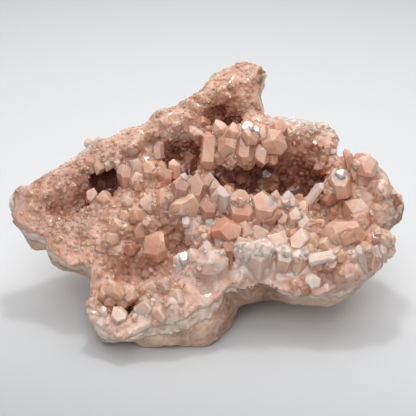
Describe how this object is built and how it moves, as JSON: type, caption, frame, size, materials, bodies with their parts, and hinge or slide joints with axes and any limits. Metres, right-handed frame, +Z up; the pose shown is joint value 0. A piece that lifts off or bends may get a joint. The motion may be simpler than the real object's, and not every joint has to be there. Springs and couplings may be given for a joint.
{
  "type": "pink amethyst geode",
  "caption": "Broken piece of a geode: a lumpy tan rind round a pocketed hollow lined with salmon-pink crystals, leaning back on its own rind.",
  "frame": {"origin": "on the surface the piece rests on, under the middle of its box", "axes": "+Z up, +X to the right along the longer side, +Y towards the high back edge, so the crystals look up and towards -Y"},
  "size_m": [0.1224, 0.0858, 0.0653],
  "materials": {
    "matrix_stone": "rough weathered rind, tan to brown, with a pale chalcedony edge",
    "pink_crystal": "translucent salmon-pink quartz crystals with glossy faces"
  },
  "bodies": {
    "root": {"matrix": "matrix_stone", "crystal_crust": "pink_crystal"}
  },
  "joints": []
}
